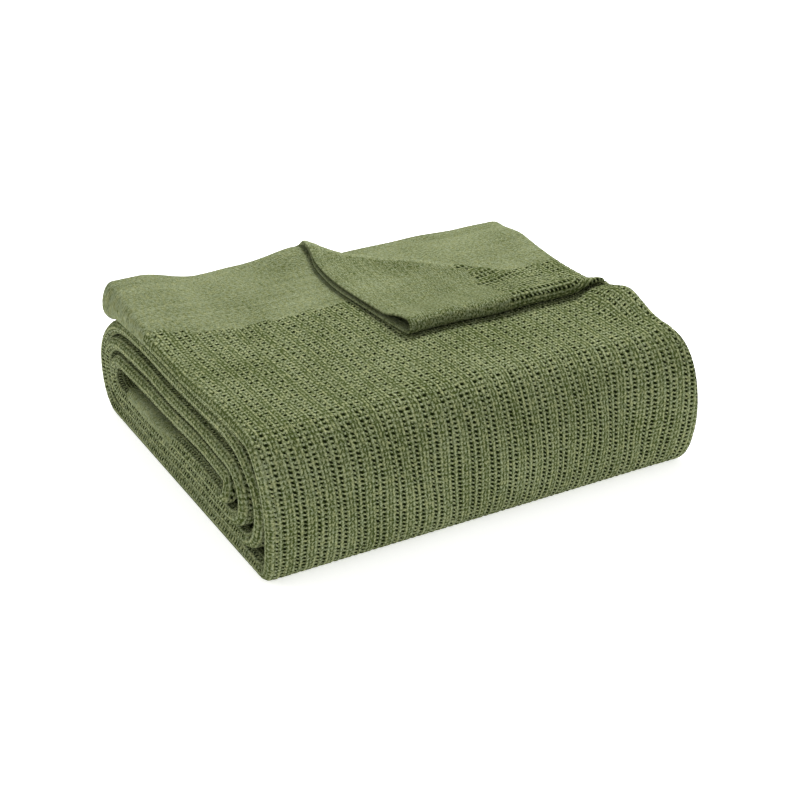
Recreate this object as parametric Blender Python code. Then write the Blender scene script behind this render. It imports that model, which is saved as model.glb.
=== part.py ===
"""A cotton thermal blanket, folded in half and then in thirds along its length and rolled up flat.

Metres, +Z up. X runs along the roll, the free end of the cloth lies on top with its hem at +Y, and
the front of the roll faces -Y. The origin is on the surface that the roll lies on, under its middle.
The cloth is one closed solid. Its middle surface is worked out from a place across the folded strip
and a place along it, and half of the thickness is added on each side.
"""
import bisect
import math

import bpy
from mathutils import Vector
from mathutils.geometry import delaunay_2d_cdt

# ---- The cloth, and the strip of six plies that it is folded into
CLOTH_THICKNESS = 0.0015
PLY_PITCH = 0.0020  # from one ply of the strip to the next
LEFT_FOLD_X = -0.1654  # centre line of the folds at the left end of the roll
RIGHT_FOLD_X = 0.1688  # the same for the folds inside the right end
HALF_FOLD_X = 0.1652  # the outer two plies are joined by the half fold, a little short of those
SELVAGE_X = LEFT_FOLD_X + 0.0010  # both selvages lie inside the left folds

# The plies in the order in which the cloth runs through them, numbered from the outside of the roll.
# The first two of them to come to the right end after the outer left fold are joined by the half fold.
CLOTH_RUN = (3, 6, 1, 2, 5, 4)
PLIES = len(CLOTH_RUN)
# Spans count the plies (even) and the folds between them (odd) in that order
PLY_1, PLY_2 = 2 * CLOTH_RUN.index(1), 2 * CLOTH_RUN.index(2)
OUTER_RIGHT_FOLD = 2 * CLOTH_RUN.index(3) + 1
FOLD_STEPS = {(3, 6): 4, (6, 1): 6, (1, 2): 4, (2, 5): 4, (5, 4): 3}

# ---- The roll: its middle line in the YZ plane, from the free end on top to the inner end.
# One row for each flat pass: where it starts and ends, how far the line swings on as it leaves
# and before it arrives, how far the pass has slid along X, and the steps of the bend after it.
# Parts count the passes (even) and the bends between them (odd)
ROLL = (
    # start_y, start_z, end_y, end_z, leaving, arriving, slide, bend_steps
    (0.1305, 0.09600, -0.1155, 0.09600, 0.0310, 0.0000, 0.0000, 11),
    (-0.1345, 0.00575, 0.1270, 0.00575, 0.0350, 0.0240, 0.0000, 9),
    (0.0926, 0.08390, -0.0700, 0.08250, 0.0690, 0.0685, 0.0025, 10),
    (-0.1030, 0.01805, 0.1006, 0.01820, 0.0440, 0.0460, -0.0010, 8),
    (0.0926, 0.07120, -0.0850, 0.06750, 0.0330, 0.0520, -0.0010, 7),
    (-0.0920, 0.03020, 0.1000, 0.03060, 0.0200, 0.0360, -0.0040, 6),
    (0.0970, 0.05740, -0.0870, 0.05520, 0.0090, 0.0240, -0.0025, 7),
    (-0.0870, 0.04210, 0.0748, 0.04260, 0.0000, 0.0090, -0.0075, 0),
)

# ---- The top corner of the outer pair of plies, turned over at 45 degrees
CREASE_X = -0.0145  # where the crease leaves the hem
CREASE_RADIUS = 0.0034
FLAP_SIZE = HALF_FOLD_X - CREASE_X
FLAP_REST = 0.0046  # the turned pair over the pair that it lies on
HALF_FOLD_OPENING = 0.0085  # the half fold stands open along the flap's front edge
HALF_FOLD_REACH = 0.045
HEM_OPENING = 0.0030  # the two hems part along the flap's left edge
HEM_REACH = 0.050
HEM_BOW = 0.0070  # and bow to the left between its ends
FLAP_BLEND = 0.020
# The pair rises to a peak at both ends of the crease: x, distance from the hem, height and reach
CREASE_PEAKS = (
    (CREASE_X, 0.0, 0.0070, 0.046),
    (HALF_FOLD_X + 0.006, FLAP_SIZE + 0.022, 0.0085, 0.048),
)
HALF_FOLD_SLACK = 0.0002  # the half fold is a little slack all along
SHOULDER_LIFT = 0.0035  # and bulges up in front of the crease's far end
SHOULDER_REACH = 0.030
SHOULDER_LENGTH = 0.060
SHOULDER_FALL = 0.042  # it falls off over this much of its length

# ---- The free corner at the back left, where the folds spring open
CORNER_RISE = 2.10  # extra height above the strip's middle, as a share of it
CORNER_DROP = 1.30  # the same below, as far as the roll under it falls away
CORNER_SWELL = 0.40  # extra reach of the fold to the left
CORNER_LENGTH = 0.120
CORNER_DROP_LENGTH = 0.030
CORNER_WIDTH = 0.050
CORNER_LEVEL = 0.4  # it is level over this share of its width

# ---- The pair that the turned corner bares, at the back right
BARE_SAG = 0.0030  # its hem hangs down a little
BARE_SAG_LENGTH = 0.045
BARE_SAG_BLEND = 0.045
BARE_CORNER_SWELL = 2.1  # and its fold is puffed up there, as a share of the fold's reach
BARE_CORNER_LENGTH = 0.080
BARE_CORNER_WIDTH = 0.026
BARE_CORNER_LIFT = 0.0035  # it rises towards the corner
BARE_CORNER_LIFT_LENGTH = 0.140
BARE_CORNER_DROP = 0.0075  # and hangs down at the hem
BARE_CORNER_DROP_LENGTH = 0.050

FRONT_BEND = 1
END_BULGE = 0.0060  # the right end bulges in the front bend
END_BULGE_WIDTH = 0.060

# ---- How finely the top pass is divided
TOP_ROWS = (0.0, 0.012, 0.021, 0.032, 0.055, 0.085, 0.120, 0.150)  # distances from the hem
SHOULDER_ROWS = (0.018, 0.038, 0.060)  # distances past the end of the crease
CORNER_COLUMNS = (0.014, 0.030, 0.048, 0.075)  # distances from the left folds
BARE_COLUMNS = (0.014, 0.032, 0.060, 0.105, 0.150)  # distances from the right folds
PEAK_COLUMNS = (-0.055, -0.030, -0.012)  # distances from the crease's start
CREASE_STEPS = 6
FLAP_LINES = (0.026, 0.048, 0.080, 0.115, 0.150)  # distances of lines parallel to the crease
LINE_SPACING = 0.019
BEND_SAMPLES = 300
BEND_LENGTH = 0.05  # this much length counts as much as a turn of one radian

BLANKET_GREEN = (0.165, 0.215, 0.105, 1.0)
BLANKET_ROUGHNESS = 0.95
SHARP_ANGLE = math.radians(50)
STEP = 1e-5  # for the slopes of the middle surface
TINY = 1e-7
ROOT_TWO = math.sqrt(2.0)


def smooth(t):
    """A smooth step from 0 to 1 as t goes from 0 to 1."""
    t = min(max(t, 0.0), 1.0)
    return t * t * (3 - 2 * t)


def mix(a, b, t):
    return a + (b - a) * t


# ---- Across the strip


def level(ply):
    """Height of a ply over the strip's middle line, towards the outside of the roll."""
    return ((PLIES + 1) / 2 - ply) * PLY_PITCH


def ply_ends(place):
    """X where the cloth enters and leaves the ply at this place in CLOTH_RUN."""
    ply = CLOTH_RUN[place]
    right = HALF_FOLD_X if ply in (1, 2) else RIGHT_FOLD_X
    left = SELVAGE_X if ply in (3, 4) else LEFT_FOLD_X
    return (left, right) if place % 2 == 0 else (right, left)


def pair_openings(x, s):
    """How far ply 1 rises and ply 2 drops in the top pass, at a distance s from the hem."""
    from_fold = max(HALF_FOLD_X - x, 0.0)
    past_crease = (x - CREASE_X - s) / ROOT_TWO - math.pi * CREASE_RADIUS
    on_flap = smooth(past_crease / FLAP_BLEND)
    at_fold = HALF_FOLD_OPENING * smooth(1 - from_fold / HALF_FOLD_REACH)
    at_hem = HEM_OPENING * smooth(1 - s / HEM_REACH)
    fall = smooth((FLAP_SIZE + SHOULDER_LENGTH - s) / SHOULDER_FALL)
    before_crease = smooth((s + CREASE_X - x) / SHOULDER_REACH)
    bulge = HALF_FOLD_SLACK + SHOULDER_LIFT * fall * before_crease
    return bulge * smooth(1 - from_fold / SHOULDER_REACH), on_flap * max(at_fold, at_hem)


def across(span, f, s):
    """(x, height) on the strip's middle surface. Even spans are plies, odd ones the folds between."""
    place = span // 2
    ply = CLOTH_RUN[place]
    on_top = s is not None
    if span % 2 == 0:
        start, end = ply_ends(place)
        x = mix(start, end, f)
        height = level(ply)
        if on_top and ply in (1, 2):
            rise, drop = pair_openings(x, s)
            height += rise if ply == 1 else -drop
        return x, height
    fold_x = ply_ends(place)[1]
    first, last = level(ply), level(CLOTH_RUN[place + 1])
    if on_top and ply == 1:
        rise, drop = pair_openings(fold_x, s)
        first, last = first + rise, last - drop
    reach = abs(first - last) / 2
    outwards = 1 if place % 2 == 0 else -1
    height = (first + last) / 2 + (first - last) / 2 * math.cos(math.pi * f)
    return fold_x + outwards * reach * math.sin(math.pi * f), height


# ---- The top pass's own forms


def open_corner(x, height, s):
    """The left folds spring open towards the hem."""
    beside = smooth(1 + CORNER_LEVEL - (x - LEFT_FOLD_X) / CORNER_WIDTH)
    rising = beside * smooth(1 - s / CORNER_LENGTH)
    if x < LEFT_FOLD_X:
        x = LEFT_FOLD_X + (x - LEFT_FOLD_X) * (1 + CORNER_SWELL * rising)
    if height > 0:
        return x, height * (1 + CORNER_RISE * rising)
    return x, height * (1 + CORNER_DROP * beside * smooth(1 - s / CORNER_DROP_LENGTH))


def rest_bare(x, height, s, outer_fold):
    """The plies under the turned corner sag at the hem and rise a little behind their corner."""
    clear = smooth((x - CREASE_X - s) / BARE_SAG_BLEND)
    inside = smooth((RIGHT_FOLD_X - x) / BARE_CORNER_WIDTH)
    height -= BARE_SAG * clear * inside * smooth(1 - s / BARE_SAG_LENGTH)
    if outer_fold:
        swell = BARE_CORNER_SWELL * smooth(1 - s / BARE_CORNER_LENGTH)
        x = RIGHT_FOLD_X + (x - RIGHT_FOLD_X) * (1 + swell)
    lift = BARE_CORNER_LIFT * smooth(1 - s / BARE_CORNER_LIFT_LENGTH)
    drop = BARE_CORNER_DROP * smooth(1 - s / BARE_CORNER_DROP_LENGTH)
    return x, height + (lift - drop) * (1 - inside)


def turn_over(x, height, s):
    """Rolls the corner of the outer pair back over a crease at 45 degrees."""
    past = (x - CREASE_X - s) / ROOT_TWO
    middle = (level(1) + level(2)) / 2
    if past > 0:
        over = height - middle
        turned = past - math.pi * CREASE_RADIUS
        if turned < 0:
            angle = past / CREASE_RADIUS
            shift = (CREASE_RADIUS - over) * math.sin(angle) - past
            height = middle + CREASE_RADIUS - (CREASE_RADIUS - over) * math.cos(angle)
        else:
            shift = -turned - past
            settled = smooth(turned / FLAP_BLEND)
            height = middle + mix(2 * CREASE_RADIUS, FLAP_REST, settled) - over
            bow = math.sin(math.pi * min(max((x - CREASE_X) / FLAP_SIZE, 0.0), 1.0))
            x -= HEM_BOW * bow * smooth(1 - s / HEM_REACH) * settled
        x += shift / ROOT_TWO
        s -= shift / ROOT_TWO
    for peak_x, peak_s, lift, reach in CREASE_PEAKS:
        height += lift * smooth(1 - math.hypot(x - peak_x, s - peak_s) / reach)
    return x, height, s


# ---- Along the roll


def pass_start(row):
    return Vector(row[0:2])


def pass_end(row):
    return Vector(row[2:4])


def heading(row):
    return (pass_end(row) - pass_start(row)).normalized()


def bend_point(row, following, t):
    """Point and direction on the Bezier curve that joins two passes."""
    a, d = pass_end(row), pass_start(following)
    b = a + heading(row) * row[4]
    c = d - heading(following) * following[5]
    u = 1 - t
    point = a * u**3 + b * (3 * t * u * u) + c * (3 * t * t * u) + d * t**3
    slope = (b - a) * (u * u) + (c - b) * (2 * t * u) + (d - c) * (t * t)
    return point, slope.normalized()


def along(part, t):
    """Point, direction and slide at a fraction t of a pass (even part) or of a bend (odd part)."""
    row = ROLL[part // 2]
    if part % 2 == 0:
        return pass_start(row).lerp(pass_end(row), t), heading(row), row[6]
    following = ROLL[part // 2 + 1]
    point, direction = bend_point(row, following, t)
    return point, direction, mix(row[6], following[6], smooth(t))


def middle_surface(span, f, part, t):
    """A point of the cloth's middle surface."""
    top_length = (pass_end(ROLL[0]) - pass_start(ROLL[0])).length
    s = t * top_length if part == 0 else None
    x, height = across(span, f, s)
    if part == 0:
        x, height = open_corner(x, height, s)
        if PLY_1 <= span <= PLY_2:
            x, height, s = turn_over(x, height, s)
        else:
            x, height = rest_bare(x, height, s, span == OUTER_RIGHT_FOLD)
        t = s / top_length
    if part == FRONT_BEND:
        beside = smooth(1 - (RIGHT_FOLD_X - x) / END_BULGE_WIDTH)
        x += END_BULGE * math.sin(math.pi * t) * beside
    point, direction, slide = along(part, t)
    outwards = Vector((direction[1], -direction[0]))
    y, z = point + outwards * height
    return Vector((x + slide, y, z))


def both_sides(span, f, part, t):
    """The middle surface's point, moved out to the two faces of the cloth."""
    f_low, f_high = max(f - STEP, 0.0), min(f + STEP, 1.0)
    t_low, t_high = max(t - STEP, 0.0), min(t + STEP, 1.0)
    over_f = middle_surface(span, f_high, part, t) - middle_surface(span, f_low, part, t)
    over_t = middle_surface(span, f, part, t_high) - middle_surface(span, f, part, t_low)
    normal = over_f.cross(over_t).normalized() * (CLOTH_THICKNESS / 2)
    point = middle_surface(span, f, part, t)
    return point + normal, point - normal


# ---- The net of nodes. A node is (span, f, part, t)


def ply_fraction(place, x):
    start, end = ply_ends(place)
    return (x - start) / (end - start)


def columns():
    """(span, f, fine) across the strip. The fine ones are only in the top pass."""
    found = []
    for place, ply in enumerate(CLOTH_RUN):
        span = 2 * place
        inner = [LEFT_FOLD_X + x for x in CORNER_COLUMNS]
        if ply in (1, 2):
            inner += [CREASE_X + x for x in PEAK_COLUMNS] + [CREASE_X]
            inner += [HALF_FOLD_X - x for x in TOP_ROWS[1:]]
        else:
            inner += [RIGHT_FOLD_X - x for x in BARE_COLUMNS]
        fractions = sorted(ply_fraction(place, x) for x in inner)
        found += [(span, 0.0, False)] + [(span, f, True) for f in fractions] + [(span, 1.0, False)]
        if place + 1 < PLIES:
            steps = FOLD_STEPS[(ply, CLOTH_RUN[place + 1])]
            found += [(span + 1, i / steps, False) for i in range(1, steps)]
    return found


def bend_places(part, steps):
    """Fractions of a bend that share out its turn and its length."""
    if steps == 0:
        return []
    fine = [i / BEND_SAMPLES for i in range(BEND_SAMPLES + 1)]
    line = [along(part, t) for t in fine]
    spent = [0.0]
    for (point, way, _), (next_point, next_way, _) in zip(line, line[1:]):
        length = (next_point - point).length / BEND_LENGTH
        spent.append(spent[-1] + way.angle(next_way) + length)
    return [fine[bisect.bisect(spent, spent[-1] * i / steps)] for i in range(1, steps)]


def rows():
    """(part, t, fine) along the roll. The top pass's rows are fine."""
    top_length = (pass_end(ROLL[0]) - pass_start(ROLL[0])).length
    distances = TOP_ROWS + (FLAP_SIZE,) + tuple(FLAP_SIZE + x for x in SHOULDER_ROWS)
    found = [(0, s / top_length, True) for s in distances]
    for number, row in enumerate(ROLL):
        if number > 0:
            found.append((2 * number, 0.0, False))
        found.append((2 * number, 1.0, False))
        found += [(2 * number + 1, t, False) for t in bend_places(2 * number + 1, row[7])]
    return found


def stitch(lower, upper, split):
    """Faces between two lists of (place, node) whose first and last places are the same.

    A face of four nodes stays whole, or is split along its "first" or "second" diagonal.
    """
    if len(lower) == len(upper) == 2:
        a, b = lower[0][1], lower[1][1]
        d, c = upper[0][1], upper[1][1]
        ways = {None: [(a, b, c, d)], "first": [(a, b, c), (a, c, d)]}
        return ways.get(split, [(a, b, d), (b, c, d)])
    faces = []
    i = j = 0
    while i + 1 < len(lower) or j + 1 < len(upper):
        next_low = lower[i + 1][0] if i + 1 < len(lower) else math.inf
        next_up = upper[j + 1][0] if j + 1 < len(upper) else math.inf
        if next_low <= next_up:
            faces.append((lower[i][1], lower[i + 1][1], upper[j][1]))
            i += 1
        else:
            faces.append((lower[i][1], upper[j + 1][1], upper[j][1]))
            j += 1
    return faces


class Net:
    """Nodes and faces of the middle surface."""

    def __init__(self):
        self.nodes = []
        self.places = {}
        self.faces = []

    def node(self, span, f, part, t):
        key = (span, round(f, 6), part, round(t, 6))
        if key not in self.places:
            self.places[key] = len(self.nodes)
            self.nodes.append((span, f, part, t))
        return self.places[key]


def flap_points():
    """Lines of places (across, s) on the outer pair, right of the crease's start.

    The pair is laid out flat there: ply 1 up to the half fold, the fold, and ply 2 back again.
    """
    fold_steps = FOLD_STEPS[(1, 2)]
    fold_length = math.pi * PLY_PITCH / 2
    width = 2 * FLAP_SIZE + fold_length
    bend = [ROOT_TWO * math.pi * CREASE_RADIUS * i / CREASE_STEPS for i in range(CREASE_STEPS + 1)]
    offsets = [-s for s in reversed(TOP_ROWS[1:])] + bend + list(FLAP_LINES)
    lines = []
    for offset in offsets:
        start, end = max(-offset, 0.0), min(FLAP_SIZE - offset, FLAP_SIZE)
        steps = max(math.ceil((end - start) / LINE_SPACING), 1)
        places = [mix(start, end, i / steps) for i in range(steps + 1)]
        lines.append([(offset + s, s) for s in places])
        lines.append([(width - offset - s, s) for s in places])
    fold_rows = [0.0] + [FLAP_SIZE - offset for offset in bend + list(FLAP_LINES)]
    for i in range(fold_steps + 1):
        lines.append([(FLAP_SIZE + fold_length * i / fold_steps, s) for s in sorted(fold_rows)])
    edge_rows = list(TOP_ROWS) + [FLAP_SIZE]
    lines.append([(0.0, s) for s in edge_rows])
    lines.append([(width, s) for s in edge_rows])
    return lines, width, fold_length


def flap_net(net, top_length):
    """Triangles of the part of the outer pair that holds the crease."""
    lines, width, fold_length = flap_points()

    def node_at(a, s):
        t = s / top_length
        if a < FLAP_SIZE + TINY:
            return net.node(PLY_1, ply_fraction(PLY_1 // 2, CREASE_X + a), 0, t)
        if a < FLAP_SIZE + fold_length - TINY:
            return net.node(PLY_1 + 1, (a - FLAP_SIZE) / fold_length, 0, t)
        return net.node(PLY_2, ply_fraction(PLY_2 // 2, CREASE_X + width - a), 0, t)

    points, edges = {}, []
    for line in lines:
        ids = [node_at(a, s) for a, s in line]
        points.update(zip(ids, line))
        edges += list(zip(ids, ids[1:]))
    ids = list(points)
    order = {node: i for i, node in enumerate(ids)}
    edges = [(order[a], order[b]) for a, b in edges if a != b]
    found, _, triangles, origins, _, _ = delaunay_2d_cdt(
        [Vector(points[node]) for node in ids], edges, [], 0, TINY
    )
    if len(found) != len(ids):
        raise ValueError("lines of the flap's net cross")
    for triangle in triangles:
        net.faces.append(tuple(ids[origins[i][0]] for i in triangle))


def blanket_net():
    net = Net()
    top_length = (pass_end(ROLL[0]) - pass_start(ROLL[0])).length
    across_strip, along_roll = columns(), rows()
    flap_begin = across_strip.index((PLY_1, ply_fraction(PLY_1 // 2, CREASE_X), True))
    flap_end = across_strip.index((PLY_2, ply_fraction(PLY_2 // 2, CREASE_X), True))
    flap_net(net, top_length)

    def row_nodes(row, begin, end):
        part, t, fine = along_roll[row]
        picked = [c for c in range(begin, end + 1) if fine or not across_strip[c][2]]
        return [(c, net.node(*across_strip[c][:2], part, t)) for c in picked]

    for row in range(len(along_roll) - 1):
        both_fine = along_roll[row][2] and along_roll[row + 1][2]
        shared = [c for c in range(len(across_strip)) if both_fine or not across_strip[c][2]]
        beside_flap = row < len(TOP_ROWS)
        for begin, end in zip(shared, shared[1:]):
            if beside_flap and flap_begin <= begin < flap_end:
                continue
            rightwards = (across_strip[begin][0] // 2) % 2 == 0
            split = ("first" if rightwards else "second") if both_fine else None
            net.faces += stitch(row_nodes(row, begin, end), row_nodes(row + 1, begin, end), split)
    return net


# ---- The solid


def rim_edges(faces):
    """Directed edges that only one face has."""
    directed = {(a, b) for face in faces for a, b in zip(face, face[1:] + face[:1])}
    return [(a, b) for a, b in directed if (b, a) not in directed]


def centred(points):
    """The points, moved so that their box stands over the origin."""
    xs, ys, zs = zip(*points)
    middle = Vector(((min(xs) + max(xs)) / 2, (min(ys) + max(ys)) / 2, min(zs)))
    return [point - middle for point in points]


def blanket_mesh():
    net = blanket_net()
    sides = [both_sides(*node) for node in net.nodes]
    count = len(sides)
    points = centred([upper for upper, _ in sides] + [lower for _, lower in sides])
    faces = list(net.faces)
    faces += [tuple(count + n for n in reversed(face)) for face in net.faces]
    faces += [(b, a, count + a, count + b) for a, b in sorted(rim_edges(net.faces))]
    mesh = bpy.data.meshes.new("blanket")
    mesh.from_pydata(points, [], faces)
    mesh.validate()
    mesh.shade_smooth()
    mesh.set_sharp_from_angle(angle=SHARP_ANGLE)
    return mesh


def blanket_material():
    material = bpy.data.materials.new("green_cotton")
    material.use_nodes = True
    shader = material.node_tree.nodes["Principled BSDF"]
    shader.inputs["Base Color"].default_value = BLANKET_GREEN
    shader.inputs["Roughness"].default_value = BLANKET_ROUGHNESS
    shader.inputs["Metallic"].default_value = 0.0
    return material


def build():
    for old in list(bpy.data.objects):
        bpy.data.objects.remove(old)
    blanket = bpy.data.objects.new("blanket", blanket_mesh())
    blanket.data.materials.append(blanket_material())
    bpy.context.scene.collection.objects.link(blanket)


build()
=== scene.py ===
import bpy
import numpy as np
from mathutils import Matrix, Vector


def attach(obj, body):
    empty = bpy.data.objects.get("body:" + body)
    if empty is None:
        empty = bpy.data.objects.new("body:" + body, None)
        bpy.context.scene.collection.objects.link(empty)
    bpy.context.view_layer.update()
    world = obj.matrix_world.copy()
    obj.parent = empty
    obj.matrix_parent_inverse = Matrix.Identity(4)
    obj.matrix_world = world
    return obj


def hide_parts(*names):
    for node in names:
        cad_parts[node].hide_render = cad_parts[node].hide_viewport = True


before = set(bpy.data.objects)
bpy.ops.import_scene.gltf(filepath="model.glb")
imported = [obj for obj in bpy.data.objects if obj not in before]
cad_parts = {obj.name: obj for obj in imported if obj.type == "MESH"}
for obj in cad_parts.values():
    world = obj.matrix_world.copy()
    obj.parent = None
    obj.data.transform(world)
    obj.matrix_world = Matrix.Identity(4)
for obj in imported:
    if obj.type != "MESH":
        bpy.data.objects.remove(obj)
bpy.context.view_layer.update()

# The looks of the rolled thermal blanket. The cloth is laid out once more as a fine net of one
# thickness of cloth, along the same folds and passes as its solid. A place on the cloth is (a, v):
# "a" runs across the cloth, through the plies and folds of the strip, and "v" runs along the roll
# from the hem on top. The weave is drawn on the net as relief, and again, finer, by the material.

MM = 0.001

# ---- The strip of six plies, as in the solid. Plies count from the outside of the roll.
CLOTH = 1.5 * MM
PLY_PITCH = 2.0 * MM
LEFT_FOLD_X, RIGHT_FOLD_X, HALF_FOLD_X = -0.1654, 0.1688, 0.1652
SELVAGE_X = LEFT_FOLD_X + 1.0 * MM
CLOTH_RUN = np.array((3, 6, 1, 2, 5, 4))  # the plies in the order in which the cloth runs
PLIES = len(CLOTH_RUN)
ROLL_CENTRE = np.array((0.0001, 0.0013, 0.0))  # the middle of the roll's box before it is centred

# ---- The roll's middle line, as in the solid: where each flat pass starts and ends, how far the
# line swings on as it leaves and before it arrives, and how far the pass has slid along X
ROLL = (
    # start_y, start_z, end_y, end_z, leaving, arriving, slide
    (0.1305, 0.09600, -0.1155, 0.09600, 0.0310, 0.0000, 0.0000),
    (-0.1345, 0.00575, 0.1270, 0.00575, 0.0350, 0.0240, 0.0000),
    (0.0926, 0.08390, -0.0700, 0.08250, 0.0690, 0.0685, 0.0025),
    (-0.1030, 0.01805, 0.1006, 0.01820, 0.0440, 0.0460, -0.0010),
    (0.0926, 0.07120, -0.0850, 0.06750, 0.0330, 0.0520, -0.0010),
    (-0.0920, 0.03020, 0.1000, 0.03060, 0.0200, 0.0360, -0.0040),
    (0.0970, 0.05740, -0.0870, 0.05520, 0.0090, 0.0240, -0.0025),
    (-0.0870, 0.04210, 0.0748, 0.04260, 0.0000, 0.0090, -0.0075),
)
TOP_LENGTH = ROLL[0][0] - ROLL[0][2]
BEND_STEPS = 160  # points of the table in each bend, and two more in each pass

# ---- The top corner of the outer two plies, turned over at 45 degrees, as in the solid
CREASE_X = -0.0145  # where the crease leaves the hem
CREASE_RADIUS = 3.4 * MM
FLAP_SIZE = HALF_FOLD_X - CREASE_X
FLAP_REST = 4.6 * MM  # the turned pair over the pair that it lies on
FLAP_BLEND = 20 * MM  # past the crease, where the flap settles
HALF_FOLD_OPENING, HALF_FOLD_REACH = 8.5 * MM, 45 * MM  # it is open along the flap's front edge
HEM_OPENING, HEM_REACH = 3.0 * MM, 50 * MM  # the two hems part along the flap's left edge
HEM_BOW = 7.0 * MM  # and bow to the left between its ends
CREASE_PEAKS = (  # the pair rises to a peak at both ends of the crease
    # x, distance from the hem, height, reach
    (CREASE_X, 0.0, 7.0 * MM, 46 * MM),
    (HALF_FOLD_X + 6 * MM, FLAP_SIZE + 22 * MM, 8.5 * MM, 48 * MM),
)
HALF_FOLD_SLACK = 0.2 * MM  # the half fold is a little slack all along
SHOULDER_LIFT, SHOULDER_REACH = 3.5 * MM, 30 * MM  # it bulges up before the crease's far end
SHOULDER_LENGTH, SHOULDER_FALL = 60 * MM, 42 * MM  # past the crease, and how gently it falls off

# ---- The free corner at the back left, where the folds spring open, as in the solid
CORNER_RISE, CORNER_DROP = 2.10, 1.30  # they part by this share more above and below the middle
CORNER_SWELL = 0.40  # extra reach of the folds to the left
CORNER_LENGTH, CORNER_DROP_LENGTH = 120 * MM, 30 * MM
CORNER_WIDTH, CORNER_LEVEL = 50 * MM, 0.4  # it is level over this share of its width

# ---- The plies that the turned corner bares, and the right end, as in the solid
BARE_SAG, BARE_SAG_LENGTH, BARE_SAG_BLEND = 3.0 * MM, 45 * MM, 45 * MM  # their hems hang a little
BARE_CORNER_SWELL, BARE_CORNER_LENGTH = 2.1, 80 * MM  # the fold there is puffed up by this share
BARE_CORNER_WIDTH = 26 * MM
BARE_CORNER_LIFT, BARE_CORNER_LIFT_LENGTH = 3.5 * MM, 140 * MM  # it rises towards the corner
BARE_CORNER_DROP, BARE_CORNER_DROP_LENGTH = 7.5 * MM, 50 * MM  # and hangs down at the hem
END_BULGE, END_BULGE_WIDTH = 6.0 * MM, 60 * MM  # the right end bulges in the front bend

# ---- The weave: pairs of columns of holes along the roll, with a solid band between the pairs.
# A pair is six wales wide: the band's middle, a rail, holes, the ladder's middle, holes, a rail.
PAIR = 14.9 * MM  # from one pair of columns to the next
WALES = 6
FIRST_COLUMN_X = -0.1506  # of the left column of a pair on the front
HOLE_SIDE = 1 / WALES  # the columns stand this share of a pair on both sides of its middle
HOLE_ROW = 3.38 * MM  # from one hole to the next in a column, where the cloth isn't stretched
HOLE_STAGGER = 0.25  # the right column's holes are this share of a row further on
HOLE_WIDTH, HOLE_HEIGHT = 1.12 * MM, 0.96 * MM  # half sizes
OPENED = (205 * MM, 285 * MM)  # along the roll, where the top's small holes give way to open ones
SMALL_HOLE, SMALL_HOLE_ON_TOP = 0.10, 0.42  # every second hole is smaller by this share
PIT_DEPTH = 1.35 * MM
PIT_SIZE, PIT_VARIETY, PIT_EDGE = 0.85, 0.3, 1.3  # shares of the half sizes
FLOAT_HEIGHT = 0.38 * MM
TROUGH_DEPTH, TROUGH_WIDTH = 0.25 * MM, 1.1  # along a column of holes, in half widths of one
HEADER = 97 * MM
LEFT_NARROWING, FLAP_NARROWING = 17 * MM, 13 * MM  # where the header's edge bends to the hem
NARROWING_REACH = 65 * MM
HEADER_FADE = 2 * MM
HEM_WIDTH, HEM_EXTRA, HEM_GROOVE = 9.0 * MM, 0.45 * MM, 0.9 * MM  # thicker, and sewn in a groove

# ---- How the weave lies on the roll: the rows are stretched apart on top and stand closer on the
# front, and the right half of the front is gathered towards its foot, so that its columns lean
TOP_STRETCH = 16 * MM  # over the mesh on top, and made up for over the front bend
GATHER = 8 * MM
GATHERED_X = (-30 * MM, 100 * MM)  # it begins at the first and is full at the second
GATHERED, RELEASED = (240 * MM, 345 * MM), (370 * MM, 550 * MM)  # along the roll

# ---- Steps of the nets
STEPS_PER_PAIR, STEPS_PER_ROW = 12, 4
FOLD_STEPS = 16  # in the narrow folds, so that they are round
SLOPE_STEP = 0.2 * MM  # for the slopes of the middle surface
PAST_END = 5 * MM  # the middle line goes on past the inner hem, whose rounded edge reaches there


def smooth(t):
    t = np.clip(t, 0, 1)
    return t * t * (3 - 2 * t)


def mix(a, b, t):
    return a + (b - a) * t


# ---- Across the strip


def level(ply):
    return ((PLIES + 1) / 2 - ply) * PLY_PITCH


RIGHTWARDS = np.arange(PLIES) % 2 == 0
RIGHT_ENDS = np.where(np.isin(CLOTH_RUN, (1, 2)), HALF_FOLD_X, RIGHT_FOLD_X)
LEFT_ENDS = np.where(np.isin(CLOTH_RUN, (3, 4)), SELVAGE_X, LEFT_FOLD_X)
PLY_START = np.where(RIGHTWARDS, LEFT_ENDS, RIGHT_ENDS)
PLY_END = np.where(RIGHTWARDS, RIGHT_ENDS, LEFT_ENDS)
NEXT_PLY = np.append(CLOTH_RUN[1:], CLOTH_RUN[-1])


def ply_length(place):
    return abs(PLY_END[place] - PLY_START[place])


def fold_length(place):
    return np.pi * abs(level(CLOTH_RUN[place]) - level(NEXT_PLY[place])) / 2


# The strip's spans in the order of the cloth: even ones are plies, odd ones the folds between
SPANS = 2 * PLIES - 1
PLY_3, RIGHT_NOSE, PLY_6, LEFT_NOSE, PLY_1, HALF_FOLD, PLY_2 = range(7)
LAST_PLY = SPANS - 1
SPAN_LENGTHS = np.array([
    fold_length(span // 2) if span % 2 else ply_length(span // 2) for span in range(SPANS)
])
SPAN_STARTS = np.concatenate([[0], np.cumsum(SPAN_LENGTHS)])
LEFT_END, HALF_END = float(SPAN_STARTS[PLY_1]), float(SPAN_STARTS[HALF_FOLD])  # of ply 1


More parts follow.
